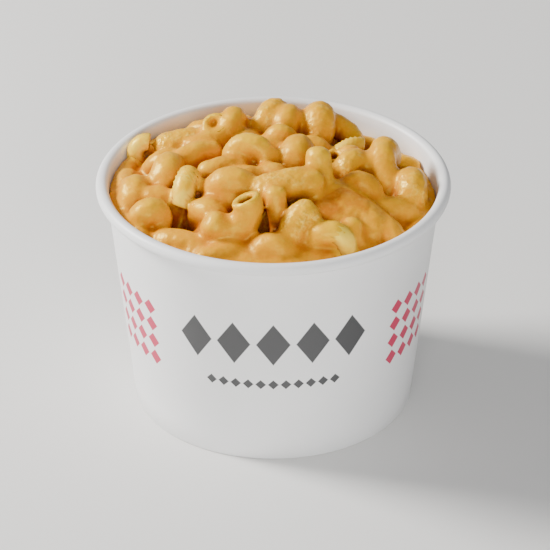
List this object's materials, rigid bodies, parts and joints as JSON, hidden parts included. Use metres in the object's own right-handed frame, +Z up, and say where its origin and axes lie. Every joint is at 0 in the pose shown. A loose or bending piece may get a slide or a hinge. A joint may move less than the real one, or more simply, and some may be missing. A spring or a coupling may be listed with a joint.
{
  "type": "mac and cheese in a paper tub",
  "caption": "Round tapered paper tub with a rolled rim, filled past its rim with curled macaroni in thick cheese sauce.",
  "frame": {"origin": "middle of the tub's base, on the surface that it stands on", "axes": "+Z up; -Y is the front of the tub, the side that the picture shows"},
  "size_m": [0.0978, 0.0978, 0.0787],
  "materials": {
    "tub_paper": "smooth white coated paper, satin",
    "base_paper": "white paper, matte",
    "sauced_pasta": "pasta under thick, glossy orange-yellow cheese sauce"
  },
  "bodies": {
    "root": {"tub_wall": "tub_paper", "tub_base": "base_paper", "macaroni_heap": "sauced_pasta"}
  },
  "joints": []
}
